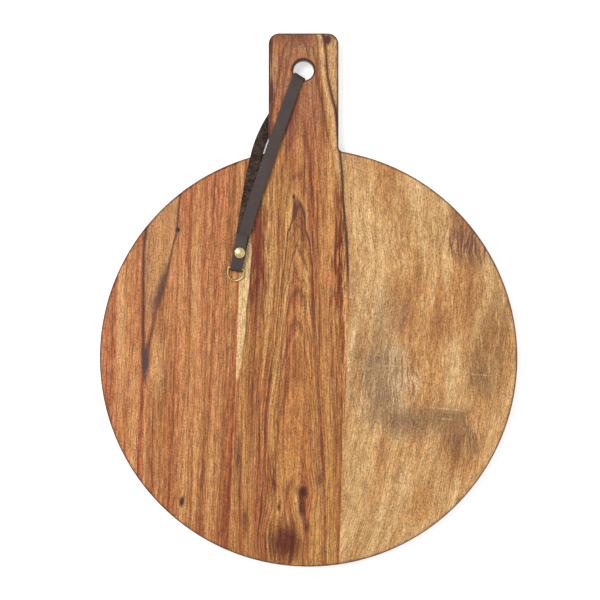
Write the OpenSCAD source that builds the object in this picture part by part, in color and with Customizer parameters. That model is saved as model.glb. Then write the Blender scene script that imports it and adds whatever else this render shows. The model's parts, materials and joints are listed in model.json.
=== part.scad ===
// Round pizza serving board with a short wide handle. Three edge-glued staves make the board,
// and the handle is part of the centre stave. A leather strap goes down through the hanging
// hole, runs back under the handle, climbs beside it and lies on the disc, where one rivet
// closes the loop and a fold holds a D-ring.
// Millimetres, +Z up, handle towards +Y. The origin is the middle of the board's length and of
// the disc's width, at the level of the strap's underside where it lies under the handle.

/* [Board] */
// Diameter of the round part
disc_d = 355; // [300:1:410]
// Thickness of the staves
board_t = 15; // [12:0.5:20]
// Radius of the rounded edge along the whole outline and the hole, above and below
edge_round = 3; // [1.5:0.25:4]

/* [Staves] */
// Place of the left seam, at the middle of the disc
left_seam_x = -61.2; // [-75:0.1:-55]
// Lean of the left seam, to the right at the handle, in degrees
left_seam_angle = 2.05; // [0:0.05:4]
// Place of the right seam, at the middle of the disc
right_seam_x = 32.8; // [30:0.1:55]
// Lean of the right seam, to the right at the handle, in degrees
right_seam_angle = 2.35; // [0:0.05:4]

/* [Handle] */
// Length of the handle beyond the disc
handle_l = 98.3; // [80:0.1:125]
// Width of the handle
handle_w = 59.4; // [50:0.1:68]
// How far the handle's middle lies to the side of the disc's middle
handle_x = -4.3; // [-8:0.1:2]
// Radius of the two corners at the tip, seen from above
tip_round = 9; // [6:0.5:14]
// Radius of the hollow corners where the handle meets the disc
neck_round = 5; // [3:0.5:8]
// Diameter of the hanging hole
hole_d = 17.5; // [15:0.25:22]
// Distance from the tip to the middle of the hole
hole_from_tip = 31.4; // [26:0.1:38]

/* [Strap] */
// Width of the leather strip
strap_w = 10; // [8:0.5:12]
// Thickness of the leather
strap_t = 1.5; // [1:0.1:2]
// Distance from the middle of the hole to the rivet
strap_reach = 164.5; // [140:0.5:190]
// Lean of the line from the hole to the rivet, off the board's length, in degrees
strap_angle = 19.1; // [17:0.1:22]
// Lean of the bends at the hole's two mouths, and of the lower strand there, in degrees
entry_angle = 32; // [26:1:38]
// Lean of the front strand where it comes out of the bend, in degrees
front_angle = 20.5; // [16:0.5:26]
// Lean of the lower strand where it climbs beside the handle, in degrees
notch_angle = 15; // [12:1:20]
// Lean of the strap's end at the rivet and the ring, in degrees
tail_angle = 10; // [6:1:14]
// Distance from the rivet to the ring's bar
tail_l = 13.3; // [12:0.1:18]
// How far the front strand's cut end reaches past the middle of the rivet
end_l = 5.5; // [5:0.1:6.5]
// How far the folded end reaches back past the rivet, on top of the front strand
flap_l = 15.7; // [10:0.1:20]
// How far the rivet sits to the right of the middle of the folded end
rivet_offset = 0.8; // [0:0.1:1.2]

/* [Rivet] */
// Diameter of the domed cap
cap_d = 9; // [7:0.5:9.5]
// Height of the dome
cap_h = 1.6; // [1:0.1:2.4]
// Thickness of the cap's sheet
cap_wall = 0.5; // [0.3:0.05:0.7]
// Diameter of the flange under the strap
base_d = 8; // [6:0.5:9]
// Thickness of the flange
base_t = 0.8; // [0.5:0.1:1.2]
// Diameter of the stem
stem_d = 2.8; // [2:0.1:3.4]

/* [D-ring] */
// Diameter of the ring's wire
ring_wire = 1.6; // [1.2:0.1:2]
// Free depth of the ring, from its bar to its bow
ring_depth = 9; // [8:0.5:12]
// Radius of the bends between bar and legs, along the middle of the wire
ring_corner = 1.2; // [1:0.1:1.4]

/* [Clearances] */
// Gap between the strap, rivet or ring and the wood
strap_gap = 0.3; // [0.2:0.05:0.5]
// Gap between two layers of leather, and between leather and rivet
layer_gap = 0.1; // [0.05:0.01:0.2]
// Gap between the rivet's stem and the holes punched for it
punch_gap = 0.2; // [0.1:0.05:0.4]
// Gap between the stem and the cap's socket
socket_gap = 0.05; // [0.02:0.01:0.1]
// Gap between the ring's bar and the fold around it
bar_gap = 0.3; // [0.2:0.05:0.4]
// Gap between the strap's edge and each leg of the ring, when the ring hangs in the middle
ring_side_gap = 1; // [0.8:0.1:2]

/* [Hidden] */

// Finish of curves
$fn = 96;
// Every cut runs this far past the face it cuts
overrun = 5;

// Levels: the strap's underside is at zero, the board lies one strap higher
disc_r = disc_d / 2;
board_z = strap_t + strap_gap;
top_z = board_z + board_t;
disc_y = -handle_l / 2;

// Places on the board, measured from the middle of the disc
tip_y = disc_r + handle_l;
handle_left = handle_x - handle_w / 2;
hole_r = hole_d / 2;
hole_y = tip_y - hole_from_tip;
// How deep a rounded edge piece reaches into the wood behind it
edge_depth = 16;
// How far the hollow corners' curves are let into the edges that they join
neck_sink = 0.08;
// Wood around the hole that is turned together with its rounded mouths
collar_w = 5;
cut_span = disc_d + handle_l;

// Middle of the hollow corner at the neck, left (-1) or right (1), and its direction from the disc
neck_reach = neck_round - neck_sink;
function neck_x(side) = handle_x + side * (handle_w / 2 + neck_reach);
function neck_y(side) = sqrt(pow(disc_r + neck_reach, 2) - pow(neck_x(side), 2));
function neck_angle(side) = atan2(neck_y(side), neck_x(side));

// Section of the board, from the inside out to its rounded edge
module edge_section(depth) {
    square([depth - edge_round, board_t]);
    translate([0, edge_round]) square([depth, board_t - 2 * edge_round]);
    for (level = [edge_round, board_t - edge_round])
        translate([depth - edge_round, level]) circle(edge_round);
}

// Wood around a hollow curve, such as a neck corner or the hole, with its rounded edge inside
module hollow_edge(radius, depth, turn) {
    rotate_extrude(angle = turn)
        translate([radius + depth, 0])
            mirror([1, 0])
                edge_section(depth);
}

module disc_blank() {
    rotate_extrude() edge_section(disc_r);
}

module neck_corner(side) {
    translate([neck_x(side), neck_y(side), 0])
        rotate(side > 0 ? 180 : 180 + neck_angle(side))
            hollow_edge(neck_round, edge_depth, side > 0 ? neck_angle(side) : 180 - neck_angle(side));
}

// The handle from inside the disc to its tip
module handle_blank() {
    tip_half = handle_w / 2 - tip_round;
    run = handle_l - tip_round + edge_depth;
    translate([handle_x, tip_y - tip_round, 0]) {
        for (side = [0, 1])
            mirror([side, 0, 0]) {
                rotate([90, 0, 0]) linear_extrude(run) edge_section(handle_w / 2);
                translate([tip_half, 0, 0]) rotate_extrude(angle = 90) edge_section(tip_round);
            }
        translate([-tip_half, 0, 0])
            rotate([90, 0, 90])
                linear_extrude(2 * tip_half) edge_section(tip_round);
    }
}

// Disc and handle in one, with the same rounded edge all the way round
module handled_blank() {
    disc_blank();
    handle_blank();
    for (side = [-1, 1]) neck_corner(side);
}

// All the space on one side of a seam
module beside_seam(seam_x, lean, side) {
    translate([seam_x, 0, -overrun])
        rotate(-lean)
            translate([side > 0 ? 0 : -cut_span, -cut_span, 0])
                cube([cut_span, 2 * cut_span, board_t + 2 * overrun]);
}

module on_board_level() {
    translate([0, disc_y, board_z]) children();
}

module left_stave() {
    color("#a4633c")
        on_board_level()
            intersection() {
                disc_blank();
                beside_seam(left_seam_x, left_seam_angle, -1);
            }
}

module centre_stave() {
    color("#8a5236")
        on_board_level() {
            difference() {
                handled_blank();
                beside_seam(left_seam_x, left_seam_angle, -1);
                beside_seam(right_seam_x, right_seam_angle, 1);
                translate([handle_x, hole_y, -overrun])
                    cylinder(r = hole_r + collar_w, h = board_t + 2 * overrun);
            }
            translate([handle_x, hole_y, 0]) hollow_edge(hole_r, collar_w, 360);
        }
}

module right_stave() {
    color("#b98a57")
        on_board_level()
            intersection() {
                disc_blank();
                beside_seam(right_seam_x, right_seam_angle, 1);
            }
}

// Directions in plan: along a strand away from the hole, and across it to the right
function lean_dir(lean) = [-sin(lean), -cos(lean)];
function across(along) = [-along.y, along.x];
function unit(v) = v / norm(v);
function ease(t) = let(c = max(0, min(1, t))) c * c * (3 - 2 * c);
function bezier(p, t) =
    pow(1 - t, 3) * p[0] + 3 * pow(1 - t, 2) * t * p[1] + 3 * (1 - t) * t * t * p[2] + pow(t, 3) * p[3];
function bezier_dir(p, t) =
    unit(pow(1 - t, 2) * (p[1] - p[0]) + 2 * (1 - t) * t * (p[2] - p[1]) + t * t * (p[3] - p[2]));

// The strap in the hole: a flat stretch whose corners just clear the wall, and a bend at each mouth
strap_half = strap_w / 2;
hole = [handle_x, disc_y + hole_y];
hole_offset = sqrt(pow(hole_r - strap_gap, 2) - pow(strap_half, 2)) - strap_t / 2 - layer_gap;
bend_r = edge_round + strap_gap + strap_t / 2;
entry_dir = lean_dir(entry_angle);
mouth = hole + (hole_offset + bend_r) * entry_dir;

// Levels of the leather's middle: under the handle, on the wood, and at the rivet's three layers
low_z = strap_t / 2;
high_z = top_z + strap_gap + strap_t / 2;
layer = strap_t + layer_gap;
back_layer_z = high_z + base_t + layer_gap;
front_layer_z = back_layer_z + layer;
flap_layer_z = front_layer_z + layer;

// The lower strand climbs in the notch between handle and disc. It passes the handle's edge and
// the disc's rim at the same share of its climb, taken from either end.
climb_run_share = 1.2;
edge_pass_share = 0.1;
climb_run = climb_run_share * (high_z - low_z);
open_half_run = (0.5 - edge_pass_share) * climb_run;
notch_dir = lean_dir(notch_angle);
notch_edge = strap_half * across(notch_dir);
notch_x = handle_left - strap_gap + open_half_run * notch_dir.x - notch_edge.x;
rim_pass_x = notch_x + open_half_run * notch_dir.x + notch_edge.x;
rim_pass_y = disc_y + sqrt(pow(disc_r + strap_gap, 2) - pow(rim_pass_x, 2));
notch = [notch_x, rim_pass_y - open_half_run * notch_dir.y - notch_edge.y];

// The rivet, the ring's bar and the fold around it, which the lower strand makes
tail_dir = lean_dir(tail_angle);
rivet = hole + strap_reach * lean_dir(strap_angle);
tail_mid = rivet - rivet_offset * across(tail_dir);
bar = tail_mid + tail_l * tail_dir;
fold_r = ring_wire / 2 + bar_gap + strap_t / 2;
bar_z = high_z + fold_r;
// Length over which a strand comes down from the rivet to the wood
settle_run = 30;
// Length over which the front strand turns from the bend into its own line
turn_run_share = 1.5;
turn_run = turn_run_share * strap_w;
// Length over which the front strand rises to lie on the lower one
rise_run = norm(notch - hole) - norm(mouth - hole) - strap_w;

// How strongly each strand is led straight on at its ends, as shares of its length
under_pull_share = 0.33;
over_pull_share = 0.42;
front_start_pull_share = 0.34;
front_end_pull_share = 0.16;
under_pull = under_pull_share * norm(notch - mouth);
over_pull = over_pull_share * norm(tail_mid - notch);
front_l = norm(rivet - mouth);
under_curve = [mouth, mouth + under_pull * entry_dir, notch - under_pull * notch_dir, notch];
over_curve = [notch, notch + over_pull * notch_dir, tail_mid - over_pull * tail_dir, tail_mid];
front_curve = [
    mouth,
    mouth + front_start_pull_share * front_l * lean_dir(front_angle),
    rivet - front_end_pull_share * front_l * tail_dir,
    rivet
];

// Level of each strand at a point of its plan
function before_rivet(p) = (rivet - p) * tail_dir;
function seated(p) = 1 - ease((before_rivet(p) - end_l) / settle_run);
function climbed(p) = ease((p - notch) * notch_dir / climb_run + 0.5);
function back_z(p) =
    low_z + (high_z - low_z) * climbed(p) + (back_layer_z - high_z) * seated(p);
function risen(p) = ease(((p - mouth) * lean_dir(strap_angle)) / rise_run);
function front_z(p) =
    high_z + layer * risen(p) + (back_layer_z - high_z) * seated(p);

// A station of the strip: its middle, and its direction across
function station(p, z, along) = [[p.x, p.y, z], [across(along).x, across(along).y, 0]];
function lower_station(curve, t) =
    let(p = bezier(curve, t)) station(p, back_z(p), bezier_dir(curve, t));
function front_station(t) =
    let(p = bezier(front_curve, t), turned = ease(norm(p - mouth) / turn_run))
    station(p, front_z(p), unit((1 - turned) * entry_dir + turned * bezier_dir(front_curve, t)));
function mouth_station(turn, upper) =
    station(
        mouth - bend_r * cos(turn) * entry_dir,
        upper ? top_z - edge_round + bend_r * sin(turn) : board_z + edge_round - bend_r * sin(turn),
        entry_dir
    );
function tail_station(run, from_z, to_z) =
    station(
        tail_mid + run * tail_dir,
        from_z + (to_z - from_z) * ease((run - end_l) / (tail_l - end_l)),
        tail_dir
    );
function fold_station(turn) =
    station(bar + fold_r * cos(turn) * tail_dir, bar_z + fold_r * sin(turn), tail_dir);

// Steps of the strip along its stretches
under_steps = 32;
over_steps = 30;
front_steps = 40;
tail_steps = 8;
bend_steps = 8;
fold_steps = 12;

// The whole strip, from the cut end between the layers at the rivet, up to the hole and through it,
// back under the handle, down to the ring's bar and round it, to the cut end on top
strap_route = concat(
    [station(rivet + end_l * tail_dir, front_layer_z, tail_dir)],
    [for (i = [front_steps:-1:1]) front_station(i / front_steps)],
    [for (i = [bend_steps:-1:0]) mouth_station(90 * i / bend_steps, true)],
    [for (i = [0:bend_steps]) mouth_station(90 * i / bend_steps, false)],
    [for (i = [1:under_steps]) lower_station(under_curve, i / under_steps)],
    [for (i = [1:over_steps]) lower_station(over_curve, i / over_steps)],
    [for (i = [1:tail_steps - 1]) tail_station(tail_l * i / tail_steps, back_layer_z, bar_z - fold_r)],
    [for (i = [0:fold_steps]) fold_station(180 * i / fold_steps - 90)],
    [for (i = [tail_steps - 1:-1:0]) tail_station(tail_l * i / tail_steps, flap_layer_z, bar_z + fold_r)],
    [station(tail_mid - flap_l * tail_dir, flap_layer_z, tail_dir)]
);

// The four corners of the strip at one station
function strip_corners(route, i) =
    let(
        last = len(route) - 1,
        along = route[min(i + 1, last)][0] - route[max(i - 1, 0)][0],
        side = strap_half * route[i][1],
        up = strap_t / 2 * unit(cross(route[i][1], along))
    )
    [for (corner = [side + up, up - side, -side - up, side - up]) route[i][0] + corner];

module strip(route) {
    last = len(route) - 1;
    walls = [
        for (i = [0:last - 1])
            for (k = [0:3])
                let(a = 4 * i + k, b = 4 * i + (k + 1) % 4)
                    each [[a, b, a + 4], [b, b + 4, a + 4]]
    ];
    ends = [[3, 2, 1, 0], [for (k = [0:3]) 4 * last + k]];
    polyhedron([for (i = [0:last]) each strip_corners(route, i)], concat(walls, ends));
}

module strap() {
    color("#4b4441")
        difference() {
            strip(strap_route);
            translate([rivet.x, rivet.y, high_z - strap_t])
                cylinder(d = stem_d + 2 * punch_gap, h = flap_layer_z - high_z + 2 * strap_t);
        }
}

// Where the cap sits on the folded end, and the flange under the back layer
cap_seat_z = flap_layer_z + strap_t / 2 + layer_gap;
base_seat_z = back_layer_z - strap_t / 2 - layer_gap;
dome_r = (pow(cap_d / 2, 2) + pow(cap_h, 2)) / (2 * cap_h);
socket_r = stem_d / 2 + socket_gap;
// Depth of the stem's end in the cap, under the dome's fall at the stem's edge
dome_fall = dome_r - sqrt(pow(dome_r, 2) - pow(stem_d / 2, 2));
stem_grip = cap_h - cap_wall - dome_fall - socket_gap;

// One half of a round dome, from its foot up
module dome_half(radius, foot, height) {
    intersection() {
        translate([0, height - radius]) circle(radius);
        square([foot, height]);
    }
}

module rivet_cap() {
    color("#c8aa62")
        translate([rivet.x, rivet.y, cap_seat_z])
            rotate_extrude() {
                difference() {
                    dome_half(dome_r, cap_d / 2, cap_h);
                    dome_half(dome_r, cap_d / 2 - cap_wall, cap_h - cap_wall);
                }
                translate([socket_r, 0]) square([cap_wall, cap_h - cap_wall]);
            }
}

module rivet_post() {
    color("#b8985a")
        translate([rivet.x, rivet.y, base_seat_z])
            rotate_extrude() {
                square([stem_d / 2, cap_seat_z - base_seat_z + stem_grip]);
                translate([0, -base_t]) square([base_d / 2 - base_t / 2, base_t]);
                translate([base_d / 2 - base_t / 2, -base_t / 2]) circle(base_t / 2);
            }
}

// The ring lies tilted from its bar down to the wood
ring_half = strap_half + ring_side_gap + ring_wire / 2;
bow_l = ring_depth + ring_wire;
ring_tilt = asin((bar_z - top_z - strap_gap - ring_wire / 2) / bow_l);

module wire_arc(radius, turn) {
    rotate_extrude(angle = turn) translate([radius, 0]) circle(d = ring_wire);
}

module d_ring() {
    leg_l = bow_l - ring_half - ring_corner;
    bar_half = ring_half - ring_corner;
    color("#cdb168")
        translate([bar.x, bar.y, bar_z])
            rotate([-ring_tilt, 0, 180 - tail_angle]) {
                translate([-bar_half, 0, 0])
                    rotate([0, 90, 0]) cylinder(d = ring_wire, h = 2 * bar_half);
                translate([bar_half, ring_corner, 0]) rotate(-90) wire_arc(ring_corner, 90);
                translate([-bar_half, ring_corner, 0]) rotate(180) wire_arc(ring_corner, 90);
                for (side = [-1, 1])
                    translate([side * ring_half, ring_corner, 0])
                        rotate([-90, 0, 0]) cylinder(d = ring_wire, h = leg_l);
                translate([0, bow_l - ring_half, 0]) wire_arc(ring_half, 180);
            }
}

left_stave();
centre_stave();
right_stave();
strap();
rivet_cap();
rivet_post();
d_ring();
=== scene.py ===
# %% [markdown]
# # A round serving board with a leather strap
#
# The board is three planks of acacia, glued edge to edge. A leather strip is threaded through
# the hole in the handle, closed with one rivet, and it carries a small brass ring. The solids
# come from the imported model, which gives every size and place. This script dresses them: it
# bends a leather strip along its route, turns the rivet, bends the ring's wire, and mixes the
# finishes of wood, leather and brass.

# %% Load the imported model
import json
from math import cos, pi, radians, sin, sqrt

import bmesh
import bpy
from mathutils import Matrix, Vector

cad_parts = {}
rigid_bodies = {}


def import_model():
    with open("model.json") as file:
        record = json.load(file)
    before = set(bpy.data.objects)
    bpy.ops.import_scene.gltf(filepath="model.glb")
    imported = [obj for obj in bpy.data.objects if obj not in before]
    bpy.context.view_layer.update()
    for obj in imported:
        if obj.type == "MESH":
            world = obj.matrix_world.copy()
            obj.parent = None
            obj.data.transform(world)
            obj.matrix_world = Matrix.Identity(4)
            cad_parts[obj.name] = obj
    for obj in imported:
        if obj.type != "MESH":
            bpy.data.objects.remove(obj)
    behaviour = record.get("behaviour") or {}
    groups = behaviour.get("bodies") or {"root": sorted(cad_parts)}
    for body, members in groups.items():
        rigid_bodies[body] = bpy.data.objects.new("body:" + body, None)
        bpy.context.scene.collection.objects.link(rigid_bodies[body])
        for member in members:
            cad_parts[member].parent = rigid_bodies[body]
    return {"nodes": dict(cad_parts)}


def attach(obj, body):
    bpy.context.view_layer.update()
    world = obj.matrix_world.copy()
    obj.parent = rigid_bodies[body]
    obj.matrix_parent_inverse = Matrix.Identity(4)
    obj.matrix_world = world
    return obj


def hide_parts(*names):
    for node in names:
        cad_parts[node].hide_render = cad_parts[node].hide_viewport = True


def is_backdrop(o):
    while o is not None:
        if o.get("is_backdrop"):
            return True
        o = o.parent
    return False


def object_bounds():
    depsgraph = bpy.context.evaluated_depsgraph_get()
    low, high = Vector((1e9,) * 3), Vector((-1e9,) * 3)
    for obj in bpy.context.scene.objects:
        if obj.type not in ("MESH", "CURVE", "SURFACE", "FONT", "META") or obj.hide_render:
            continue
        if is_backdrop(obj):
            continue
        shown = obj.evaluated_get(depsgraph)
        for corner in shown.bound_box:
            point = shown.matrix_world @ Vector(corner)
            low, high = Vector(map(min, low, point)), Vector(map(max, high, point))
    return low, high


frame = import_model()
cad_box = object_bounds()
scene = bpy.context.scene
print("nodes:", sorted(frame["nodes"]))

# %% [markdown]
# ## Helpers for materials
#
# Colours are easy to read as hex values, the way a colour picker shows them, but Blender
# computes light in linear values. One function turns the first into the second. Another adds a
# node, sets its properties, and fills its inputs with plain values or with links. A third
# starts a material with its shader and with places on the object in millimetres, so that every
# pattern after it can be written in real sizes.

# %% Colours, nodes and materials
MM = 0.001


def linear(code):
    """A colour written as an sRGB hex value, as linear red, green, blue and alpha."""
    parts = [int(code[i : i + 2], 16) / 255 for i in (1, 3, 5)]
    return [p / 12.92 if p <= 0.04045 else ((p + 0.055) / 1.055) ** 2.4 for p in parts] + [1]


def result(node):
    """The output of a node that is in use with its settings."""
    return next(o for o in node.outputs if o.enabled)


def add(tree, kind, links=None, stops=(), bends=(), **settings):
    """Add one node. A link's value is a number, a hex colour, a socket, or a node's result."""
    node = tree.nodes.new("ShaderNode" + kind)
    for name, value in settings.items():
        setattr(node, name, value)
    for key, value in (links or {}).items():
        if isinstance(value, bpy.types.Node):
            value = result(value)
        if isinstance(value, bpy.types.NodeSocket):
            tree.links.new(value, node.inputs[key])
        else:
            node.inputs[key].default_value = linear(value) if isinstance(value, str) else value
    for i, (place, code) in enumerate(stops):
        elements = node.color_ramp.elements
        stop = elements[i] if i < len(elements) else elements.new(place)
        stop.position = place
        stop.color = linear(code)
    for i, (x, y) in enumerate(bends):
        points = node.mapping.curves[0].points
        point = points[i] if i < len(points) else points.new(x, y)
        point.location = (x, y)
    if bends:
        node.mapping.update()
    return node


def new_material(name, **shader_values):
    """A material, its node tree and shader, and the node that gives places in millimetres."""
    material = bpy.data.materials.new(name)
    material.use_nodes = True
    tree = material.node_tree
    tree.nodes.clear()
    shader = add(tree, "BsdfPrincipled", {k.replace("_", " "): v for k, v in shader_values.items()})
    add(tree, "OutputMaterial", {"Surface": shader})
    where = add(tree, "TexCoord").outputs["Object"]
    place = add(tree, "Mapping", {"Vector": where, "Scale": (1 / MM, 1 / MM, 1 / MM)})
    return material, tree, shader, place


# %% [markdown]
# ## Camera, floor and light
#
# The board is seen from straight above, filling most of a square picture. A long lens keeps its
# circle round, and from 1.4 m away the wall of the hole still shows a little. The floor is
# plain white. The strap under the handle lifts the board by its own thickness, so the floor
# leans a quarter of a degree to touch both the strap and the far rim, as a table would.

# %% Camera
# In metres: the camera's height over the rim, the width that the picture shows, the camera's
# place to the side, and the height where the rim is widest.
VIEW_H = 1.4
VIEW_W = 0.510
VIEW_X = -0.0073
RIM_TOP_Z = 0.0138

camera_data = bpy.data.cameras.new("camera")
camera_data.lens = camera_data.sensor_width * VIEW_H / VIEW_W
camera = bpy.data.objects.new("camera", camera_data)
camera.location = (VIEW_X, 0, VIEW_H + RIM_TOP_Z)
scene.collection.objects.link(camera)
scene.camera = camera
print("lens:", round(camera_data.lens, 1), "mm")

# %% What the floor and later steps need
def to_object(bm, name, smooth=True):
    """Put a finished bmesh into the scene as an object."""
    for f in bm.faces:
        f.smooth = smooth
    mesh = bpy.data.meshes.new(name)
    bm.to_mesh(mesh)
    bm.free()
    made = bpy.data.objects.new(name, mesh)
    scene.collection.objects.link(made)
    return made


def rays_seen(tree):
    """1 for what is seen, straight, in a reflection or through glass; 0 for what only lights."""
    ray = add(tree, "LightPath").outputs
    seen = ray["Is Camera Ray"]
    for kind in ("Is Glossy Ray", "Is Transmission Ray"):
        seen = add(tree, "Math", {0: seen, 1: ray[kind]}, operation="MAXIMUM")
    return seen


# %% Floor
FLOOR_SIZE = 4
PAPER_GLOW = 0.5
STRAP_TOUCH = Vector((0, 140, 0)) * MM
FAR_RIM = Vector((0, -223, 1.75)) * MM

bm = bmesh.new()
bmesh.ops.create_grid(bm, x_segments=1, y_segments=1, size=FLOOR_SIZE)
slope = (STRAP_TOUCH.z - FAR_RIM.z) / (STRAP_TOUCH.y - FAR_RIM.y)
bmesh.ops.rotate(bm, verts=bm.verts, matrix=Matrix.Rotation(slope, 3, "X"))
bmesh.ops.translate(bm, verts=bm.verts, vec=STRAP_TOUCH)
floor = to_object(bm, "floor", smooth=False)
floor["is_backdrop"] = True

paper, tree, shader, _ = new_material("white_paper", Base_Color="#f2f2f2", Roughness=0.9)
glow = add(tree, "Emission", {"Color": "#ffffff", "Strength": PAPER_GLOW})
lit = add(tree, "AddShader", {0: shader, 1: glow})
both = add(tree, "MixShader", {0: rays_seen(tree), 1: shader, 2: lit})
tree.links.new(both.outputs[0], tree.nodes["Material Output"].inputs["Surface"])
floor.data.materials.append(paper)
print("floor leans", round(slope / radians(1), 2), "degrees")

# %% Light
# The room lights the board at half strength, but looks white behind the floor and in the brass.
ROOM_LIGHT, ROOM_LOOK = 0.52, 1.0

scene.view_settings.view_transform = "Standard"
world = bpy.data.worlds.new("studio")
world.use_nodes = True
room = world.node_tree
strength = add(
    room,
    "MapRange",
    {"Value": rays_seen(room), "To Min": ROOM_LIGHT, "To Max": ROOM_LOOK},
)
room.nodes["Background"].inputs["Color"].default_value = linear("#ffffff")
room.links.new(strength.outputs[0], room.nodes["Background"].inputs["Strength"])
scene.world = world


def soft_light(name, place, size, power):
    """A square lamp that faces the middle of the board."""
    lamp = bpy.data.lights.new(name, "AREA")
    lamp.size = size
    lamp.energy = power
    holder = bpy.data.objects.new(name, lamp)
    holder.location = place
    holder.rotation_euler = (-Vector(place)).to_track_quat("-Z", "Y").to_euler()
    scene.collection.objects.link(holder)


soft_light("key", place=(-0.8, 0.5, 1.5), size=0.8, power=20)
soft_light("fill", place=(0.9, -0.4, 1.6), size=1.6, power=6)
print("lamps:", len(bpy.data.lights))

# %% [markdown]
# ## Acacia
#
# Acacia is a hard wood with strong colours: red-brown heart, golden outer wood and cream
# sapwood, crossed by dark lines and knots. Oil makes it warm and gives a satin gloss. The eye
# reads it in layers: wide zones of colour, narrow bands, fibres, and short dark pores. All of
# them are the same noise, drawn out along the plank and scaled in millimetres. What makes each
# plank its own is then laid on top: lines, patches and knots at chosen places.

# %% Grain
TWIST = (0, 0.5, 0.16)


def streaks(tree, place, width, length, seed, detail=2.0):
    """Noise drawn out along a plank, for bundles of fibres of that width and length. Noise is
    built on a lattice; the twist keeps its rows from lining up with the plank."""
    stretched = add(
        tree,
        "Mapping",
        {
            "Vector": place,
            "Location": (seed,) * 3,
            "Rotation": TWIST,
            "Scale": (1 / width, 1 / length, 1 / width),
        },
    )
    return add(tree, "TexNoise", {"Vector": stretched, "Scale": 1.0, "Detail": detail})


def weighed(tree, *parts):
    """The sum of several values, each times its weight."""
    total = 0.0
    for value, weight in parts:
        total = add(tree, "Math", {0: value, 1: weight, 2: total}, operation="MULTIPLY_ADD")
    return total


def swayed(tree, place, width, length, sway, seed):
    """Places pushed to the left and right, so that no line drawn on them is dead straight."""
    drift = streaks(tree, place, width, length, seed, 1.0)
    sideways = add(tree, "MapRange", {"Value": drift, "To Min": -sway, "To Max": sway})
    shift = add(tree, "CombineXYZ", {"X": sideways})
    return add(tree, "VectorMath", {0: place, 1: shift}, operation="ADD")


# %% Patches and knots
PLANK_TOP = 16.8
PATCH_DEPTH = 60


def bowed(tree, place, middle, bow):
    """Places along fibres that bow to the left, most at that height, as they do beside a branch."""
    axes = add(tree, "SeparateXYZ", {0: place})
    up = add(tree, "Math", {0: axes.outputs["Y"], 1: middle}, operation="SUBTRACT")
    square = add(tree, "Math", {0: up, 1: up}, operation="MULTIPLY")
    sideways = add(tree, "Math", {0: square, 1: bow}, operation="MULTIPLY")
    shift = add(tree, "CombineXYZ", {"X": sideways})
    return add(tree, "VectorMath", {0: place, 1: shift}, operation="ADD")


def patch(tree, place, centre, radii, turn=0.0):
    """A soft oval through the plank: 1 in the middle, 0 at its edge."""
    local = add(
        tree,
        "Mapping",
        {
            "Vector": place,
            "Location": (*centre, PLANK_TOP),
            "Rotation": (0, 0, radians(turn)),
            "Scale": (*radii, PATCH_DEPTH),
        },
        vector_type="TEXTURE",
    )
    return add(tree, "TexGradient", {"Vector": local}, gradient_type="SPHERICAL")


def parted(tree, grain, centre, radii, amount):
    """Places drawn together at a knot, so that the fibres flow round it."""
    mask = patch(tree, grain, centre, radii)
    pull = add(tree, "Math", {0: mask, 1: -amount}, operation="MULTIPLY")
    from_knot = add(tree, "VectorMath", {0: grain, 1: (*centre, PLANK_TOP)}, operation="SUBTRACT")
    across = add(tree, "VectorMath", {0: from_knot, 1: (1, 0, 0)}, operation="MULTIPLY")
    shift = add(tree, "VectorMath", {0: across, "Scale": pull}, operation="SCALE")
    return add(tree, "VectorMath", {0: grain, 1: shift}, operation="ADD")


# %% Lines
def beside_line(tree, place, points):
    """How far right of a drawn line a place is, in millimetres, and how far up the line, 0 to 1.
    The points of the line run from its lower end to its upper one."""
    left, right = min(x for x, _ in points), max(x for x, _ in points)
    low, high = points[0][1], points[-1][1]
    axes = add(tree, "SeparateXYZ", {0: place})
    up = add(tree, "MapRange", {"Value": axes.outputs["Y"], "From Min": low, "From Max": high})
    bends = [((y - low) / (high - low), (x - left) / (right - left)) for x, y in points]
    bend = add(tree, "FloatCurve", {"Value": up}, bends=bends)
    line_x = add(tree, "Math", {0: bend, 1: right - left, 2: left}, operation="MULTIPLY_ADD")
    beside = add(tree, "Math", {0: axes.outputs["X"], 1: line_x}, operation="SUBTRACT")
    height = add(tree, "Math", {0: axes.outputs["Y"], 1: low}, operation="SUBTRACT")
    return beside, add(tree, "Math", {0: height, 1: high - low}, operation="DIVIDE")


def stretch_of(tree, up, low, high, soft=0.05):
    """1 on one stretch of a line, from low to high, with soft ends."""
    after = add(tree, "MapRange", {"Value": up, "From Min": low, "From Max": low + soft})
    before = add(tree, "MapRange", {"Value": up, "From Min": high, "From Max": high - soft})
    return add(tree, "Math", {0: after, 1: before}, operation="MULTIPLY")


def near(tree, beside, width):
    """1 on a line, 0 so many millimetres beside it."""
    away = add(tree, "Math", {0: beside}, operation="ABSOLUTE")
    return add(
        tree,
        "MapRange",
        {"Value": away, "From Max": width, "To Min": 1.0, "To Max": 0.0},
        interpolation_type="SMOOTHSTEP",
    )


def drawn(tree, beside, up, width, low=-1.0, high=2.0, soft=0.1):
    """A line of that width, along one stretch of its length."""
    stretch = stretch_of(tree, up, low, high, soft)
    return add(tree, "Math", {0: near(tree, beside, width), 1: stretch}, operation="MULTIPLY")


def tint(tree, tone, mask, colour, strength=1.0, blend="MIX"):
    """Lay a colour over the wood where a mask is."""
    amount = add(tree, "Math", {0: mask, 1: strength}, operation="MULTIPLY", use_clamp=True)
    return add(tree, "Mix", {0: amount, 6: tone, 7: colour}, data_type="RGBA", blend_type=blend)


# %% Colours of all planks
OIL = {"IOR": 1.5, "Specular_IOR_Level": 0.25}
TONE_STOPS = (0.41, 0.47, 0.53, 0.59)


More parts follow.
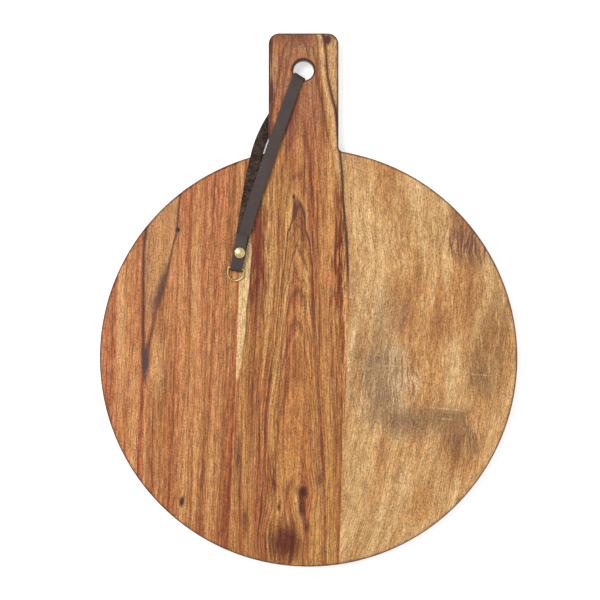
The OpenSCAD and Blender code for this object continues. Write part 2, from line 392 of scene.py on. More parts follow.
def heart_and_gold(tree, level, hue, heart, gold):
    """Two scales of colour from dark to light, mixed by a second noise: red heart, golden outer
    wood. A sum of noises stays close to a half, so the stops stand close to it too."""
    red = add(tree, "ValToRGB", {"Fac": level}, stops=list(zip(TONE_STOPS, heart)))
    yellow = add(tree, "ValToRGB", {"Fac": level}, stops=list(zip(TONE_STOPS, gold)))
    amount = add(tree, "MapRange", {"Value": hue, "From Min": 0.4, "From Max": 0.6})
    return add(tree, "Mix", {0: amount, 6: red, 7: yellow}, data_type="RGBA")


# %% Oil, and wearing a finish
FIBRE_W, SPECK_L, PORE_W = 0.7, 1.6, 0.8
RELIEF_W, RELIEF_L = 0.9, 40


def plug(tree, shader, **parts):
    """Let nodes drive the shader's inputs of these names."""
    for name, node in parts.items():
        tree.links.new(result(node), shader.inputs[name.replace("_", " ")])


def oiled(tree, shader, grain, tone, seed, fibre_l, pore_depth):
    """Fibres with short specks, pores, edges darker both as end grain and with painted shade, gloss
    and relief.
    Real fibres and pores are a tenth of a millimetre wide. These are coarser, to show in a picture."""
    fibres = streaks(tree, grain, FIBRE_W, fibre_l, seed + 2, 1.0)
    specks = streaks(tree, grain, FIBRE_W, SPECK_L, seed + 3, 1.0)
    fine = weighed(tree, (fibres, 0.45), (specks, 0.55))
    fine = add(
        tree,
        "MapRange",
        {"Value": fine, "From Min": 0.35, "From Max": 0.65, "To Min": 0.46, "To Max": 1.47},
    )
    tone = add(tree, "VectorMath", {0: tone, "Scale": fine}, operation="SCALE")
    pore = streaks(tree, grain, PORE_W, 0.6 * fibre_l, seed, 1.0)
    pore = add(tree, "MapRange", {"Value": pore, "From Min": 0.5, "From Max": 0.68})
    tone = tint(tree, tone, pore, "#86502f", pore_depth, "MULTIPLY")
    # Where the surface turns to the side, round the edges, it is darkened: partly the darker end
    # grain, partly painted shade.
    normal = add(tree, "SeparateXYZ", {0: add(tree, "NewGeometry").outputs["Normal"]})
    upright = add(tree, "Math", {0: normal.outputs["Z"]}, operation="ABSOLUTE")
    edge = add(
        tree,
        "MapRange",
        {"Value": upright, "From Min": 0.98, "From Max": 0.7},
        interpolation_type="SMOOTHSTEP",
    )
    tone = tint(tree, tone, edge, "#87695c", 0.95, "MULTIPLY")
    fibre = streaks(tree, grain, RELIEF_W, RELIEF_L, seed + 1)
    gloss = add(tree, "MapRange", {"Value": fibre, "To Min": 0.42, "To Max": 0.58})
    height = add(tree, "Math", {0: fibre, 1: pore}, operation="SUBTRACT")
    relief = add(tree, "Bump", {"Height": height, "Strength": 0.2, "Distance": 0.1 * MM})
    plug(tree, shader, Base_Color=tone, Roughness=gloss, Normal=relief)


def dress(node, material):
    """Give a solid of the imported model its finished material."""
    for slot in frame["nodes"][node].material_slots:
        slot.material = material
    print(node, "wears", material.name)


# %% [markdown]
# ### The left plank
#
# It is warm red-brown, with straight bands. Two dark lines close in on each other like a wedge,
# with paler wood between them, and end in a grey smudge.

# %% Left plank: bands and fibres
left_wood, tree, shader, place = new_material("oiled_acacia_left", **OIL)
run = add(tree, "Mapping", {"Vector": place, "Rotation": (0, 0, radians(2.05))})
grain = swayed(tree, run, 60, 230, 4, 11)
hue = streaks(tree, grain, 12, 330, 12, 3.0)
band = streaks(tree, grain, 6, 220, 13, 3.0)
line = streaks(tree, grain, 1.3, 120, 14, 2.0)
fibre = streaks(tree, grain, 0.9, 14, 15, 2.0)
level = weighed(tree, (band, 0.38), (line, 0.3), (fibre, 0.32))
heart = ("#78381b", "#9b532d", "#b2693d", "#c57f51")
gold = ("#855029", "#a56a38", "#b87c46", "#ca945d")
tone = heart_and_gold(tree, level, hue, heart, gold)

# %% Left plank: wedge, smudge and knots
uneven = swayed(tree, place, 14, 50, 2.2, 16)
outer_line = [
    (-137.4, -76.5), (-139.9, -42.5), (-140.8, 0), (-139.9, 29.7), (-137.4, 58.6), (-135.7, 80.7),
]
inner_line = [
    (-136.2, -40.7), (-132, -22), (-128.2, -5.1), (-124.3, 6.8), (-120.9, 20.4), (-116.7, 40.7),
    (-111.3, 60.2), (-108.2, 88.2), (-106.8, 103.7),
]
from_outer, outer_up = beside_line(tree, uneven, outer_line)
from_inner, inner_up = beside_line(tree, uneven, inner_line)
inside = add(tree, "MapRange", {"Value": from_outer, "From Max": 2.0})
within = add(tree, "MapRange", {"Value": from_inner, "From Max": -2.0})
wedge = add(tree, "Math", {0: inside, 1: within}, operation="MULTIPLY")
above = stretch_of(tree, outer_up, 0.15, 2, 0.25)
wedge = add(tree, "Math", {0: wedge, 1: above}, operation="MULTIPLY")
tone = tint(tree, tone, wedge, "#bb8a58", 0.55)
smudge = add(tree, "Math", {0: from_inner, 1: 2.0}, operation="ADD")
tone = tint(tree, tone, drawn(tree, smudge, inner_up, 6, 0.16, 0.52, 0.12), "#54382c", 0.95)
tone = tint(tree, tone, drawn(tree, from_inner, inner_up, 3.2, -0.1, 0.45, 0.1), "#653424", 0.9)
tone = tint(tree, tone, drawn(tree, from_outer, outer_up, 2.3, 0.0), "#412820", 0.95)
tone = tint(tree, tone, drawn(tree, from_inner, inner_up, 1.9, 0.33, 2, 0.15), "#4a2c20", 0.9)
for centre, radii, colour, strength in (
    ((-159, -15), (5, 110), "#d3a26d", 0.7),
    ((-170, 10), (5, 70), "#8f5632", 0.6),
    ((-128, -55), (7, 34), "#cd9863", 0.9),
    ((-146, 20), (4, 90), "#9a5a35", 0.5),
    ((-120, -110), (5, 60), "#b06637", 0.6),
    ((-95, 20), (4, 90), "#d09a62", 0.6),
    ((-88, 70), (3.5, 60), "#96502d", 0.4),
    ((-74, -40), (3.5, 120), "#98532f", 0.35),
    ((-137.5, -52), (4, 18), "#4a3630", 1.6),
    ((-110.6, 59.5), (2.6, 3), "#2e1d18", 1.8),
    ((-107.6, -170.9), (2.4, 6), "#40251a", 1.8),
):
    tone = tint(tree, tone, patch(tree, uneven, centre, radii), colour, strength)
oiled(tree, shader, grain, tone, 17, 9, 0.15)
dress("left_stave", left_wood)

# %% [markdown]
# ### The centre plank
#
# It was sawn close to the middle of the trunk, so its growth rings show as nested arches that
# run out into lines. A ring is a cone round the trunk's middle, which lies below the board and
# leans a little. The distance from that leaning line says which ring a place is in.

# %% Centre plank: rings, bands and fibres
centre_wood, tree, shader, place = new_material("oiled_acacia_centre", **OIL)
run = add(tree, "Mapping", {"Vector": place, "Rotation": (0, 0, radians(0.8))})
grain = swayed(tree, run, 40, 150, 5, 21)
for knot, spread, amount in (
    ((-4.8, -163), (16, 26), 0.8),
    ((-23, -202), (22, 26), 0.5),
    ((17, 18), (9, 14), 0.7),
):
    grain = parted(tree, grain, knot, spread, amount)
PITH_LEFT, PITH_DEPTH, PITH_LEAN = 11.2, 29.0, 0.03
axes = add(tree, "SeparateXYZ", {0: grain})
from_pith = add(tree, "Math", {0: axes.outputs["X"], 1: PITH_LEFT}, operation="ADD")
pith_depth = add(
    tree,
    "Math",
    {0: axes.outputs["Y"], 1: PITH_LEAN, 2: PITH_DEPTH},
    operation="MULTIPLY_ADD",
)
pith_depth = add(tree, "Math", {0: pith_depth, 1: axes.outputs["Z"]}, operation="ADD")
ring_place = add(tree, "CombineXYZ", {"X": from_pith, "Y": pith_depth})
ring_size = add(tree, "VectorMath", {0: ring_place}, operation="LENGTH").outputs["Value"]
ripple = streaks(tree, grain, 6, 30, 22)
ripple = add(tree, "MapRange", {"Value": ripple, "To Min": -0.6, "To Max": 0.6})
ring_size = add(tree, "Math", {0: ripple, 1: ring_size}, operation="ADD")
rings = add(tree, "TexNoise", {"W": ring_size, "Scale": 1.1, "Detail": 3.0}, noise_dimensions="1D")
hue = streaks(tree, grain, 9, 200, 23, 3.0)
band = streaks(tree, grain, 3.2, 130, 24, 3.0)
line = streaks(tree, grain, 1.4, 120, 28, 2.0)
fibre = streaks(tree, grain, 1.0, 24, 25, 2.0)
level = weighed(tree, (rings, 0.28), (band, 0.3), (line, 0.27), (fibre, 0.15))
heart = ("#6a3018", "#96542c", "#b06c3a", "#c5854f")
gold = ("#864e27", "#a9703a", "#bf8848", "#d3a161")
tone = heart_and_gold(tree, level, hue, heart, gold)

# %% Centre plank: zones of colour
# Pale zones cover the grain a little. Dark ones are multiplied onto it, so that it shows through.
# Both fray along the fibres.
uneven = swayed(tree, place, 12, 45, 1.8, 26)
streaky = swayed(tree, uneven, 1.5, 20, 11, 29)
for centre, radii, colour, strength in (
    ((-34, 30), (6.5, 85), "#cd9a60", 0.8),
    ((17, 65), (9, 85), "#cf975d", 0.7),
    ((18, 62), (3, 50), "#cf8a4c", 0.7),
    ((-8, -95), (16, 60), "#c78d4a", 0.5),
    ((14, -60), (7, 80), "#cd9254", 0.5),
    ((-15, -140), (10, 30), "#d09a50", 0.5),
    ((-29, 202), (4.2, 36), "#bd9064", 0.95),
    ((31.5, -20), (1.8, 130), "#d2a06c", 0.8),
):
    tone = tint(tree, tone, patch(tree, streaky, centre, radii), colour, strength)
for centre, radii, colour, strength in (
    ((-10.5, 30), (14, 50), "#cfa595", 0.3),
    ((-42.5, 40), (10, 76), "#a06450", 1.5),
    ((-50, -85), (9, 75), "#b8917f", 0.9),
    ((26.5, -95), (5, 150), "#b88672", 0.35),
    ((26.3, 30), (6, 130), "#a86a58", 1.2),
    ((-31, -150), (4, 28), "#9a5c44", 1.3),
    ((-18.5, -206), (21, 24), "#8c5840", 1.4),
    ((-36, 165), (8, 50), "#ab7a68", 1.2),
    ((-36, 200), (9, 75), "#94786c", 1.4),
    ((-7, 228), (44, 16), "#9c8072", 1.1),
):
    tone = tint(tree, tone, patch(tree, streaky, centre, radii), colour, strength, "MULTIPLY")

# The wood of the handle is browner inside its widest arch. Beside the strap it carries painted
# shade: the strap's shadow.
inner = add(tree, "MapRange", {"Value": ring_size, "From Min": 54.5, "From Max": 53.3})
on_handle = add(tree, "MapRange", {"Value": axes.outputs["Y"], "From Min": 110, "From Max": 180})
inner = add(tree, "Math", {0: inner, 1: on_handle}, operation="MULTIPLY")
tone = tint(tree, tone, inner, "#8f5b44", 0.6)
arch_left = [
    (-31, 166.5), (-27.4, 178.6), (-24.4, 190.7), (-22.6, 204), (-19.5, 215), (-15.3, 221.6),
]
arch_right = [
    (18.6, 127.7), (15, 145.9), (12.5, 161.7), (9.6, 176.2), (7.1, 190.7), (5.3, 206.5),
    (0.4, 218.6),
]
for side in (arch_left, arch_right):
    from_arch, arch_up = beside_line(tree, uneven, side)
    tone = tint(tree, tone, drawn(tree, from_arch, arch_up, 2.0, 0.0, 1.05, 0.12), "#5e3122", 0.65)
# Painted shadow: a dark band 7 mm to the right of the strap's line, multiplied onto the wood.
from_strap, strap_up = beside_line(tree, place, [(-33.4, 128), (-9.6, 186.8)])
painted_strap_shadow = add(tree, "Math", {0: from_strap, 1: 7.0}, operation="SUBTRACT")
painted_strap_shadow = drawn(tree, painted_strap_shadow, strap_up, 6.5, 0.0, 1.0, 0.3)
tone = tint(tree, tone, painted_strap_shadow, "#9c6a58", 0.7, "MULTIPLY")

# %% Centre plank: arches
for size, width, strength in (
    (54.3, 0.3, 0.35), (52.6, 0.3, 0.5), (49.16, 0.2, 0.45), (48.26, 0.28, 0.95),
    (47.65, 0.14, 0.5), (47.07, 0.18, 0.7), (46.5, 0.13, 0.5), (46.1, 0.16, 0.6),
    (45.4, 0.16, 0.5), (44.7, 0.16, 0.45),
):
    beside = add(tree, "Math", {0: ring_size, 1: size}, operation="SUBTRACT")
    tone = tint(tree, tone, near(tree, beside, width), "#52291c", strength)

# %% Centre plank: sapwood, dark vein and knots
sap_edge = [
    (-60.9, -69.7), (-54.1, -35), (-51.5, -5), (-49.2, 20), (-48.5, 42), (-52, 70), (-58, 110)
]
from_sap, sap_up = beside_line(tree, uneven, sap_edge)
sap = add(tree, "MapRange", {"Value": from_sap, "From Min": 0.6, "From Max": -0.6})
sap = add(tree, "Math", {0: sap, 1: stretch_of(tree, sap_up, 0.0, 2, 0.03)}, operation="MULTIPLY")
tone = tint(tree, tone, sap, "#dfba82", 0.9)
tone = tint(tree, tone, drawn(tree, from_sap, sap_up, 1.2, 0.1, 0.6), "#4a2a1c", 0.85)
vein = [
    (34.3, -0.9), (32.6, 36.5), (29.2, 90.9), (26.7, 126.6), (23, 158.1), (19.6, 173),
    (15.2, 198.9), (13.9, 216.7), (11.4, 226.9),
]
from_vein, vein_up = beside_line(tree, uneven, vein)
outside = add(tree, "MapRange", {"Value": from_vein, "From Max": 1.5})
above = stretch_of(tree, vein_up, 0.0, 3, 0.05)
outside = add(tree, "Math", {0: outside, 1: above}, operation="MULTIPLY")
tone = tint(tree, tone, outside, "#c99e6a", 0.7)
pale = add(tree, "Math", {0: from_vein, 1: 3.6}, operation="ADD")
tone = tint(tree, tone, drawn(tree, pale, vein_up, 3.6, 0.4, 2), "#d0a472", 0.85)
tone = tint(tree, tone, drawn(tree, from_vein, vein_up, 2.1, 0.0), "#381f16", 0.95)
for centre, radii, colour, strength in (
    ((26, 142), (1.8, 9), "#3a2018", 1.6),
    ((-12.4, 87.6), (1.8, 3), "#4a2014", 1.8),
    ((-10.8, 74), (3, 11), "#56281a", 0.8),
    ((16.5, 18), (10, 6), "#c27444", 1.1),
    ((-4.8, -163), (5, 7), "#451c13", 1.8),
    ((-7, -176), (4, 15), "#5a2818", 1.2),
    ((-23, -202), (13, 15), "#5a2817", 0.8),
    ((-25.2, -176), (2.4, 4), "#552818", 1.3),
    ((-1, -192), (3, 9), "#553420", 1.1),
    ((9, -152), (4, 10), "#6e4529", 1.0),
    ((-54, -186), (4, 22), "#703f28", 1.0),
    ((-59.5, -135), (2.6, 36), "#623a2c", 1.1),
    ((16, 221), (5.5, 6), "#4e2229", 1.9),
    ((23, 224), (5, 4), "#4a3024", 1.0),
):
    tone = tint(tree, tone, patch(tree, uneven, centre, radii), colour, strength)
oiled(tree, shader, grain, tone, 27, 9, 0.25)
dress("centre_stave", centre_wood)

# %% [markdown]
# ### The right plank
#
# It is outer wood, golden tan, without bands. Soft grey-brown clouds and many short pores make
# up its figure.

# %% Right plank: clouds and fibres
right_wood, tree, shader, place = new_material("oiled_acacia_right", **OIL)
run = add(tree, "Mapping", {"Vector": place, "Rotation": (0, 0, radians(3))})
grain = swayed(tree, bowed(tree, run, 20, 0.0005), 50, 120, 9, 31)
hue = streaks(tree, grain, 26, 110, 32, 3.0)
cloud = streaks(tree, grain, 22, 45, 38, 3.0)
band = streaks(tree, grain, 6, 70, 33, 3.0)
fibre = streaks(tree, grain, 0.9, 16, 35, 2.0)
level = weighed(tree, (cloud, 0.32), (band, 0.42), (fibre, 0.26))
heart = ("#a06b3d", "#b57f4a", "#c38f57", "#d1a16a")
gold = ("#b28654", "#c29661", "#cfa66f", "#dcb785")
tone = heart_and_gold(tree, level, hue, heart, gold)

# %% Right plank: smudges and scratches
river = [(90.2, -25.4), (83.2, 0), (81.8, 33.9), (76.1, 70.7), (50.6, 90.5), (43.6, 118.7)]
# Smudges soak along the fibres, so their places are swayed twice: in waves, then fibre by fibre.
uneven = swayed(tree, place, 25, 30, 9, 36)
uneven = swayed(tree, uneven, 1.6, 22, 30, 39)
from_river, river_up = beside_line(tree, uneven, river)
tone = tint(tree, tone, drawn(tree, from_river, river_up, 9, -0.1, 1.1, 0.3), "#a66c38", 0.6)
for centre, radii, turn, colour, strength in (
    ((46, 60), (9, 85), 2, "#d6ad78", 0.8),
    ((43, -155), (12, 55), 0, "#d2aa72", 0.7),
    ((59, -54), (34, 30), 0, "#8d7053", 0.9),
    ((65, -12), (28, 34), 0, "#9a7a58", 0.7),
    ((64, -80), (26, 32), 0, "#8a6c52", 0.9),
    ((82, -103), (38, 20), -8, "#876648", 1.1),
    ((112, -55), (14, 40), 0, "#b8864f", 0.7),
    ((146, -64), (13, 40), 0, "#85603f", 1.0),
    ((129, -118), (19, 28), 15, "#7a5539", 0.95),
    ((115, -99), (30, 14), 0, "#86643f", 1.0),
    ((155, -30), (18, 60), 0, "#8d6239", 0.8),
    ((93, -172), (18, 24), 0, "#b37b41", 0.7),
    ((66, -49.5), (7, 5), 0, "#654a38", 0.9),
    ((132, 52), (18, 32), 20, "#86563f", 1.1),
    ((135.5, 45), (9, 20), 15, "#5c3a33", 0.9),
    ((83, -71), (9, 30), 4, "#d6b68c", 1.0),
    ((75, -40), (7, 16), 8, "#cfae84", 1.0),
):
    tone = tint(tree, tone, patch(tree, uneven, centre, radii, turn), colour, strength)
for centre, half_length, turn in (
    ((70, -56), 14, -2), ((146, -63.6), 11, -4), ((116, -92.4), 25, -5), ((117, -101), 12, -4),
):
    tone = tint(tree, tone, patch(tree, place, centre, (half_length, 0.9), turn), "#e2c49c", 0.4)
oiled(tree, shader, grain, tone, 37, 7, 0.15)
dress("right_stave", right_wood)

# %% [markdown]
# ## The route of the strap
#
# The strap is one flat strip. It starts at the rivet, runs up to the hole in the handle, goes
# down through it and back under the handle, climbs beside it, and lies on the disc below its
# own first half. At the rivet it goes under the bar of the ring, folds up round it, and ends on
# top. Seen from above, each strand is a curve that is led straight on at both ends. Its height
# follows from where it is: on the wood, on the other strand, or in the stack at the rivet.

# %% Places of the strap, in millimetres
from mathutils.geometry import interpolate_bezier

STRAP_W, STRAP_T = 10, 1.5
LOW_Z, HIGH_Z, BACK_Z, FRONT_Z, FLAP_Z = 0.75, 17.85, 18.75, 20.35, 21.95
LAYER = FRONT_Z - BACK_Z
END_L, FLAP_L = 5.5, 15.7


def lean(angle):
    """The direction away from the hole, seen from above, so many degrees off the board's length."""
    return Vector((-sin(radians(angle)), -cos(radians(angle))))


def right_of(along):
    """The direction to the right of another one, as a walker along the strap sees it from above."""
    return Vector((-along.y, along.x))


def ease(t):
    """0 to 1 with a soft start and a soft stop."""
    t = min(1, max(0, t))
    return t * t * (3 - 2 * t)


hole = Vector((-4.3, 195.25))
ENTER_ANGLE, LEAVE_ANGLE, CLIMB_ANGLE, TAIL_ANGLE, LINE_ANGLE = 32, 20.5, 15, 10, 19.1
RIVET_FROM_HOLE, BAR_FROM_RIVET = 164.5, 13.3
enter, climb = lean(ENTER_ANGLE), lean(CLIMB_ANGLE)
tail, line = lean(TAIL_ANGLE), lean(LINE_ANGLE)
MOUTH_R, MOUTH_FROM_HOLE = 4.05, 10.012
mouth = hole + MOUTH_FROM_HOLE * enter
notch = Vector((-41.254, 133.643))
rivet = hole + RIVET_FROM_HOLE * line
RIVET_OFFSET = 0.8
tail_mid = rivet - RIVET_OFFSET * right_of(tail)
bar = tail_mid + BAR_FROM_RIVET * tail
FOLD_R, BAR_Z = 1.85, 19.7
print("rivet at", rivet[:], "bar at", bar[:])

# %% Strands
CLIMB_RUN, RISE_RUN, SETTLE_RUN = 20.52, 51.83, 30
TURN_RUN = 15


def strand(start, start_dir, start_pull, end, end_dir, end_pull, count=80):
    """A curve from start to end, led straight on at both ends; pulls are shares of its length."""
    length = (end - start).length
    first, last = start + start_pull * length * start_dir, end - end_pull * length * end_dir
    return interpolate_bezier(start, first, last, end, count)


def seated(p):
    """0 on the wood, 1 where the strap lies on the rivet's flange."""
    return 1 - ease(((rivet - p) @ tail - END_L) / SETTLE_RUN)


def lower_z(p):
    """Under the handle, then up the notch to the wood, then onto the rivet's flange."""
    climbed = ease((p - notch) @ climb / CLIMB_RUN + 0.5)
    return LOW_Z + (HIGH_Z - LOW_Z) * climbed + (BACK_Z - HIGH_Z) * seated(p)


def front_z(p):
    """On the handle, then on the lower strand."""
    risen = ease((p - mouth) @ line / RISE_RUN)
    return HIGH_Z + LAYER * risen + (BACK_Z - HIGH_Z) * seated(p)


def laid(points, level):
    """Each point of a strand with its height and with the strand's direction there."""
    ahead = points[1:] + [2 * points[-1] - points[-2]]
    return [(p, level(p), (q - p).normalized()) for p, q in zip(points, ahead)]


front = []
for p, z, along in laid(strand(mouth, lean(LEAVE_ANGLE), 0.34, rivet, tail, 0.16), front_z):
    front.append((p, z, enter.lerp(along, ease((p - mouth).length / TURN_RUN)).normalized()))
under = laid(strand(mouth, enter, 0.33, notch, climb, 0.33), lower_z)
over = laid(strand(notch, climb, 0.42, tail_mid, tail, 0.42), lower_z)

# %% Bends and the whole route
BEND_STEPS = 24
MOUTH_TOP, MOUTH_BOTTOM = 13.8, 4.8
TAIL_L = (bar - tail_mid).length


def quarter(upper):
    """The bend at one mouth of the hole, from the upright stretch out to the level one."""
    turns = [pi / 2 * i / BEND_STEPS for i in range(BEND_STEPS)]
    middle = MOUTH_TOP if upper else MOUTH_BOTTOM
    side = MOUTH_R if upper else -MOUTH_R
    return [(mouth - MOUTH_R * cos(t) * enter, middle + side * sin(t), enter) for t in turns]


def tail_run(start_z, end_z):
    """From the rivet to just before the ring's bar."""
    runs = [TAIL_L * i / BEND_STEPS for i in range(BEND_STEPS)]
    change = end_z - start_z
    levels = [start_z + change * ease((run - END_L) / (TAIL_L - END_L)) for run in runs]
    return [(tail_mid + run * tail, z, tail) for run, z in zip(runs, levels)]


turns = [pi * i / (2 * BEND_STEPS) - pi / 2 for i in range(2 * BEND_STEPS + 1)]
fold = [(bar + FOLD_R * cos(t) * tail, BAR_Z + FOLD_R * sin(t), tail) for t in turns]
stations = [(rivet + END_L * tail, FRONT_Z, tail)]
punched = [len(stations)]
stations += front[:0:-1] + [(mouth, HIGH_Z, enter)] + quarter(True)[::-1]
stations += quarter(False) + under + over[1:-1]
punched.append(len(stations))
stations += tail_run(BACK_Z, BAR_Z - FOLD_R) + fold + tail_run(FLAP_Z, BAR_Z + FOLD_R)[::-1]
punched.append(len(stations) - 1)
stations.append((tail_mid - FLAP_L * tail, FLAP_Z, tail))

middles = [Vector((*p, z)) for p, z, _ in stations]
rights = [Vector((*right_of(along), 0)) for _, _, along in stations]
lengths = [0.0]
for a, b in zip(middles, middles[1:]):
    lengths.append(lengths[-1] + (b - a).length)
strap_l = lengths[-1]
print("strip:", round(strap_l, 1), "mm long, punched at", [round(lengths[i], 1) for i in punched])

# %% [markdown]
# ## The strip of leather
#
# On the bench a strap is cut flat, punched, and only then bent. The mesh is made the same way.
# A grid is the flat strip. A hole is a block of faces taken out, with the corners left around it
# pulled onto a circle. Then every point is carried to its place on the route. The Solidify
# modifier gives the sheet its thickness, with other materials for the back and the cut edges,
# and the Bevel modifier takes the sharpness off those edges.

# %% Cut and punch the flat strip
ROW, COLUMNS = 0.42, 12
PUNCH_R = 1.6

bm = bmesh.new()
bm.loops.layers.uv.new("strip")
rows = round(strap_l / ROW)
bmesh.ops.create_grid(bm, x_segments=rows, y_segments=COLUMNS, size=0.5, calc_uvs=True)
bmesh.ops.scale(bm, verts=bm.verts, vec=(strap_l, STRAP_W, 1))
bmesh.ops.translate(bm, verts=bm.verts, vec=(strap_l / 2, 0, 0))
for index in punched:
    at_end = index == punched[0]
    punch = Vector((lengths[index], 0 if at_end else -RIVET_OFFSET, 0))
    gone = [f for f in bm.faces if (f.calc_center_median() - punch).length < PUNCH_R]
    around = {v for f in gone for v in f.verts}
    bmesh.ops.delete(bm, geom=gone, context="FACES")
    for v in around:
        if v.is_valid and v.is_boundary:
            v.co = punch + (v.co - punch).normalized() * PUNCH_R
print("flat strip:", len(bm.faces), "faces")

# %% Bend the strip along its route
from bisect import bisect_right

EDGE_W, EDGE_STEPS, EDGE_ANGLE = 0.3, 3, 40

for v in bm.verts:
    i = min(bisect_right(lengths, v.co.x), len(lengths) - 1)
    share = (v.co.x - lengths[i - 1]) / (lengths[i] - lengths[i - 1])
    middle = middles[i - 1].lerp(middles[i], share)
    right = rights[i - 1].lerp(rights[i], share).normalized()
    v.co = (middle - v.co.y * right) * MM
strap = to_object(bm, "strap_leather")
thickness = strap.modifiers.new("thickness", "SOLIDIFY")
thickness.thickness = STRAP_T * MM
thickness.offset = 0
thickness.use_even_offset = True
thickness.material_offset = 1
thickness.material_offset_rim = 2
edges = strap.modifiers.new("edges", "BEVEL")
edges.width = EDGE_W * MM
edges.segments = EDGE_STEPS
edges.angle_limit = radians(EDGE_ANGLE)
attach(strap, "strap")
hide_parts("strap")
print("strap rides on its body:", len(strap.data.polygons), "faces before its modifiers")

# %% [markdown]
# ## Leather
#
# The face is dark grey-brown and nearly matt. Fine pebbles and faint creases keep it from
# looking like plastic. The back is the flesh side: rough, browner and darker, full of short
# loose fibres. The cut edges show the fibres of the hide in layers.

# %% Face of the leather
face, tree, shader, place = new_material("waxed_leather_face", IOR=1.45, Specular_IOR_Level=0.3)
soft = add(tree, "TexNoise", {"Vector": place, "Scale": 1 / 14, "Detail": 3.0})
pebble = add(tree, "TexVoronoi", {"Vector": place, "Scale": 1 / 1.1}, feature="F1")
crease = streaks(tree, place, 5, 0.9, 41)
level = weighed(tree, (soft, 0.5), (pebble, 0.2), (crease, 0.3))
greys = [(0.3, "#352b28"), (0.5, "#3f3531"), (0.65, "#483d39")]
tone = add(tree, "ValToRGB", {"Fac": level}, stops=greys)
gloss = add(tree, "MapRange", {"Value": crease, "To Min": 0.5, "To Max": 0.7})
height = add(tree, "Math", {0: crease, 1: pebble}, operation="SUBTRACT")
relief = add(tree, "Bump", {"Height": height, "Strength": 0.25, "Distance": 0.1 * MM})
plug(tree, shader, Base_Color=tone, Roughness=gloss, Normal=relief)

# %% Back of the leather
back, tree, shader, place = new_material("rough_leather_back", Roughness=0.95, IOR=1.4)
nap = add(tree, "TexNoise", {"Vector": place, "Scale": 1 / 1.3, "Detail": 4.0, "Roughness": 0.7})
worn = add(tree, "TexNoise", {"Vector": place, "Scale": 1 / 9, "Detail": 2.0})
level = weighed(tree, (nap, 0.7), (worn, 0.3))
browns = [(0.44, "#1a1210"), (0.5, "#33251f"), (0.57, "#574238")]
tone = add(tree, "ValToRGB", {"Fac": level}, stops=browns)
relief = add(tree, "Bump", {"Height": nap, "Strength": 0.6, "Distance": 0.3 * MM})
plug(tree, shader, Base_Color=tone, Normal=relief)

# %% Cut edge of the leather
cut, tree, shader, place = new_material("cut_leather_edge", Roughness=0.85, IOR=1.4)
fibre = add(tree, "TexNoise", {"Vector": place, "Scale": 1 / 0.8, "Detail": 3.0})
tone = add(tree, "ValToRGB", {"Fac": fibre}, stops=[(0.4, "#241b18"), (0.6, "#3f322d")])
relief = add(tree, "Bump", {"Height": fibre, "Strength": 0.4, "Distance": 0.2 * MM})
plug(tree, shader, Base_Color=tone, Normal=relief)
for material in (face, back, cut):
    strap.data.materials.append(material)
print("strap wears", [m.name for m in strap.data.materials])

# %% [markdown]
# ## Rivet and ring
#
# The cap of the rivet is pressed from thin brass sheet: a shallow dome with a rolled rim, hollow
# inside, with a socket for the stem. Half of its section, turned once round, is the whole cap.
# The ring is bent from wire. A circle, the section of the wire, is spun round each bend and
# pushed along each straight, until it meets its own start.

# %% Cap of the rivet: section
CAP_R, CAP_H, CAP_WALL, CAP_Z = 4.5, 1.6, 0.5, 22.8
DOME_R, RIM_R = 8.5, 0.42
SOCKET_R, SOCKET_WALL, SOCKET_FOOT = 1.45, 0.4, 0.1
INSIDE_R, RIM_LAP = 3.4, 0.25
TURN_STEPS, DOME_STEPS, INSIDE_STEPS, ROOF_STEPS = 64, 14, 8, 3
RIM_START, RIM_STEP, RIM_POINTS = 80, 20, 14


def dome(top, out_to, count, start=0.0):
    """Points along a round dome, from a distance off its axis out to another."""
    reach = [start + (out_to - start) * i / count for i in range(count + 1)]
    return [(r, top - DOME_R + sqrt(DOME_R**2 - r * r)) for r in reach]


rim_x = CAP_R - RIM_R
rim_turns = [radians(RIM_START - RIM_STEP * i) for i in range(RIM_POINTS)]
rolled = [(rim_x + RIM_R * cos(t), RIM_R + RIM_R * sin(t)) for t in rim_turns]
socket_out = SOCKET_R + SOCKET_WALL
inside = dome(CAP_H - CAP_WALL, INSIDE_R, INSIDE_STEPS, socket_out)[::-1]
socket = [(socket_out, SOCKET_FOOT), (SOCKET_R, SOCKET_FOOT)]
roof = dome(CAP_H - CAP_WALL, SOCKET_R, ROOF_STEPS)[::-1]
section = dome(CAP_H, rim_x - RIM_LAP, DOME_STEPS) + rolled + inside + socket + roof
print("cap's section:", len(section), "points")

# %% Cap of the rivet: turned
bm = bmesh.new()
foot = Vector((*rivet, CAP_Z))
points = [bm.verts.new(((foot.x + x) * MM, foot.y * MM, (foot.z + z) * MM)) for x, z in section]
outline = [bm.edges.new(pair) for pair in zip(points, points[1:])]
bmesh.ops.spin(
    bm,
    geom=points + outline,
    cent=(rivet.x * MM, rivet.y * MM, 0),
    axis=(0, 0, 1),
    angle=2 * pi,
    steps=TURN_STEPS,
    use_merge=True,
)
bmesh.ops.remove_doubles(bm, verts=bm.verts, dist=0.001 * MM)
bmesh.ops.recalc_face_normals(bm, faces=bm.faces)
cap = to_object(bm, "rivet_cap_brass")
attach(cap, "strap")
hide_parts("rivet_cap")
print("cap:", len(cap.data.polygons), "faces")

# %% Ring: section of the wire
WIRE_R, RING_HALF, BOW_L, CORNER_R = 0.8, 6.8, 10.6, 1.2
RING_TILT, RING_TURN = radians(-9.777), radians(180 - TAIL_ANGLE)
WIRE_SIDES, CORNER_STEPS, BOW_STEPS = 20, 8, 48
MEET = 0.01
bar_half = RING_HALF - CORNER_R
leg_l = BOW_L - RING_HALF - CORNER_R

bm = bmesh.new()
upright = Matrix.Translation((-bar_half, 0, 0)) @ Matrix.Rotation(pi / 2, 4, "Y")
loop = bmesh.ops.create_circle(bm, segments=WIRE_SIDES, radius=WIRE_R, matrix=upright)
section = list({e for v in loop["verts"] for e in v.link_edges})
print("wire:", len(section), "sides")


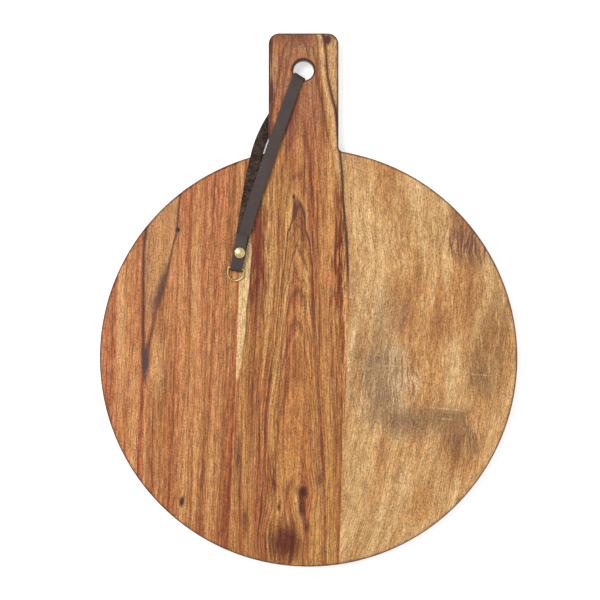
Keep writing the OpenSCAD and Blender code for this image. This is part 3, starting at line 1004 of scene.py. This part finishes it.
# %% Ring: bends and straights
def pushed(edges, step):
    """Extrude the wire's open end along a straight, and return its new end."""
    new = bmesh.ops.extrude_edge_only(bm, edges=edges)["geom"]
    ends = [g for g in new if isinstance(g, bmesh.types.BMVert)]
    bmesh.ops.translate(bm, verts=ends, vec=step)
    return [g for g in new if isinstance(g, bmesh.types.BMEdge) and set(g.verts) <= set(ends)]


def bent(edges, centre, angle, steps):
    """Spin the wire's open end round a bend, and return its new end."""
    new = bmesh.ops.spin(bm, geom=edges, cent=centre, axis=(0, 0, 1), angle=angle, steps=steps)
    return [g for g in new["geom_last"] if isinstance(g, bmesh.types.BMEdge)]


end = pushed(section, (2 * bar_half, 0, 0))
end = bent(end, (bar_half, CORNER_R, 0), pi / 2, CORNER_STEPS)
end = pushed(end, (0, leg_l, 0))
end = bent(end, (0, BOW_L - RING_HALF, 0), pi, BOW_STEPS)
end = pushed(end, (0, -leg_l, 0))
end = bent(end, (-bar_half, CORNER_R, 0), pi / 2, CORNER_STEPS)
bmesh.ops.remove_doubles(bm, verts=bm.verts, dist=MEET)
bmesh.ops.recalc_face_normals(bm, faces=bm.faces)
turn = Matrix.Rotation(RING_TURN, 4, "Z") @ Matrix.Rotation(RING_TILT, 4, "X")
to_place = Matrix.Scale(MM, 4) @ Matrix.Translation((*bar, BAR_Z)) @ turn
bmesh.ops.transform(bm, verts=bm.verts, matrix=to_place)
ring = to_object(bm, "d_ring_brass")
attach(ring, "ring")
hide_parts("d_ring")
print("ring:", len(ring.data.polygons), "faces")

# %% [markdown]
# ## Brass
#
# The brass is pale and satin, not mirror bright. Fine marks from the press and from wear spread
# the highlight, and a little tarnish dulls it in patches.

# %% Brass
brass, tree, shader, place = new_material("satin_brass", Metallic=1.0)
tarnish = add(tree, "TexNoise", {"Vector": place, "Scale": 1 / 2.2, "Detail": 4.0})
wear = add(tree, "TexNoise", {"Vector": place, "Scale": 1 / 0.35, "Detail": 2.0})
golds = [(0.4, "#a99064"), (0.52, "#b8a276"), (0.64, "#c6b289")]
tone = add(tree, "ValToRGB", {"Fac": tarnish}, stops=golds)
gloss = add(
    tree,
    "MapRange",
    {"Value": tarnish, "From Min": 0.35, "From Max": 0.65, "To Min": 0.36, "To Max": 0.26},
)
relief = add(tree, "Bump", {"Height": wear, "Strength": 0.06, "Distance": 0.05 * MM})
plug(tree, shader, Base_Color=tone, Roughness=gloss, Normal=relief)
for piece in (cap, ring):
    piece.data.materials.append(brass)
dress("rivet_post", brass)

# %% [markdown]
# ## Sizes
#
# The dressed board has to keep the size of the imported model, so both boxes are written down.

# %% Write the sizes and finish
size = {"cad": [list(map(float, corner)) for corner in cad_box]}
size["visual"] = [list(map(float, corner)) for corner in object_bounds()]
print(size)
